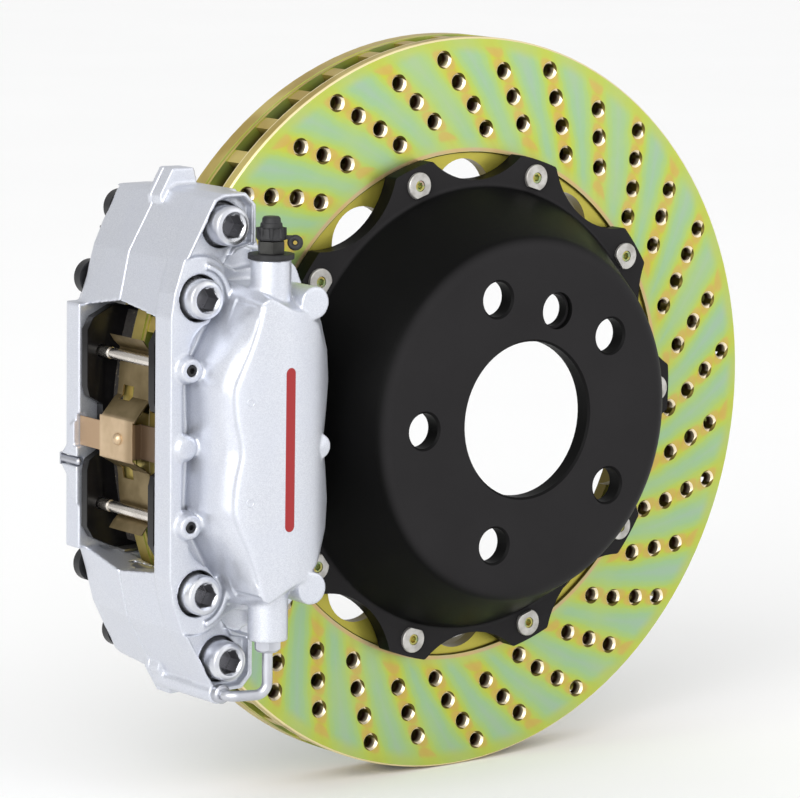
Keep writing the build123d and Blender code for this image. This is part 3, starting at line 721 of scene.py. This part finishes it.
panel_marks()
dress(IRON, "brake_disc")
dress(ANODISED, "disc_bell")
dress(BOBBIN, "drive_bobbins", edge=0.2)
dress(ZINC, "bobbin_screws", edge=0.15)
dress(STAINLESS, "spring_washers", "abutment_plates", "pad_shim_outboard", "pad_shim_inboard")
dress(BOLT_STEEL, "bridge_bolts", edge=0.3)
dress(PLATED, "wear_clip", "crossover_pipe", "tube_nut", "pipe_collar", edge=0.15)
dress(DARK_ZINC, "bleeder_screw_outboard", "bleeder_screw_inboard", edge=0.15)
dress(PLASTIC, "bolt_end_plugs", "pin_retainers", edge=0.2)
dress(RUBBER, "piston_seals", "dust_boots", "bleeder_base_rings", edge=0.2)
dress(RUBBER, "bleeder_cap_outboard", "bleeder_cap_inboard", edge=0.2)
dress(PIN_STEEL, "pad_pins", edge=0.1)
dress(BRONZE, "pad_spring", "spring_rivet", edge=0.15)
dress(ENAMEL, "pad_plate_outboard", "pad_plate_inboard", edge=0.4)
dress(FRICTION, "pad_lining_outboard", "pad_lining_inboard", edge=0.4)
dress(CHROME, "piston_outboard_upper", "piston_outboard_lower", edge=0.2)
dress(CHROME, "piston_inboard_upper", "piston_inboard_lower", edge=0.2)


# ------------------------------------------------------------------ floor, light and camera
def floor():
    """Pale floor just under the disc."""
    level = cad_box[0].z - FLOOR_GAP
    shape = bmesh.new()
    bmesh.ops.create_grid(shape, x_segments=8, y_segments=8, size=FLOOR_HALF)
    bmesh.ops.translate(shape, vec=(0, 0, level), verts=shape.verts)
    mesh = bpy.data.meshes.new("floor")
    shape.to_mesh(mesh)
    shape.free()
    ground = bpy.data.objects.new("floor", mesh)
    bpy.context.scene.collection.objects.link(ground)
    mesh.materials.append(pale_floor().material)


def softbox(name, place, aim, size, power):
    """Rectangular lamp at place that faces aim, unseen by the camera."""
    data = bpy.data.lights.new(name, "AREA")
    data.shape = "RECTANGLE"
    data.size, data.size_y = size
    data.energy = power
    lamp = bpy.data.objects.new(name, data)
    bpy.context.scene.collection.objects.link(lamp)
    lamp.location = place
    lamp.rotation_mode = "QUATERNION"
    lamp.rotation_quaternion = (Vector(place) - Vector(aim)).to_track_quat("Z", "Y")
    lamp.visible_camera = False


def sun(name, place, strength, spread):
    """Broad, even light from far away in the direction of place."""
    data = bpy.data.lights.new(name, "SUN")
    data.energy = strength
    data.angle = radians(spread)
    lamp = bpy.data.objects.new(name, data)
    bpy.context.scene.collection.objects.link(lamp)
    lamp.rotation_mode = "QUATERNION"
    lamp.rotation_quaternion = Vector(place).to_track_quat("Z", "Y")


def world():
    """White studio, brighter on the outboard side than behind the disc."""
    sky = bpy.data.worlds.new("studio")
    sky.use_nodes = True
    tree = sky.node_tree
    where = tree.nodes.new("ShaderNodeTexCoord")
    split = tree.nodes.new("ShaderNodeSeparateXYZ")
    fall = tree.nodes.new("ShaderNodeMapRange")
    fall.interpolation_type = "SMOOTHSTEP"
    # seen towards -Y the world shines at 1.04, towards +Y at 0.6
    for slot, value in zip(RANGE_SLOTS, (-0.7, 0.9, 1.04, 0.6)):
        fall.inputs[slot].default_value = value
    tree.links.new(where.outputs["Generated"], split.inputs[0])
    tree.links.new(split.outputs["Y"], fall.inputs["Value"])
    back = tree.nodes["Background"]
    back.inputs["Color"].default_value = (1.0, 1.0, 1.0, 1.0)
    tree.links.new(fall.outputs["Result"], back.inputs["Strength"])
    bpy.context.scene.world = sky


def camera():
    """Looks from outboard, in front of and a little above the caliper."""
    azimuth, elevation, roll = radians(AZIMUTH), radians(ELEVATION), radians(ROLL)
    back = Vector((
        sin(azimuth) * cos(elevation),
        -cos(azimuth) * cos(elevation),
        sin(elevation),
    ))
    right = Vector((0, 0, 1)).cross(back).normalized()
    above = back.cross(right)
    turned_right = cos(roll) * right + sin(roll) * above
    turned_up = -sin(roll) * right + cos(roll) * above
    data = bpy.data.cameras.new("camera")
    data.sensor_width = SENSOR
    data.lens = LENS
    data.clip_end = 60.0
    eye = bpy.data.objects.new("camera", data)
    bpy.context.scene.collection.objects.link(eye)
    turn = Matrix((turned_right, turned_up, back)).transposed().to_4x4()
    eye.matrix_world = Matrix.Translation(EYE) @ turn
    bpy.context.scene.camera = eye


floor()
world()
sun("key", (-1.7, -1.1, 0.8), 1.5, 60.0)
softbox("side", (-2.2, -0.9, 0.9), (-0.1, 0.0, 0.0), (1.2, 1.6), 16.0)
softbox("front", (1.5, -2.1, 0.7), (0.0, 0.0, 0.0), (1.7, 1.5), 6.0)
camera()
bpy.context.scene.view_settings.view_transform = "Standard"
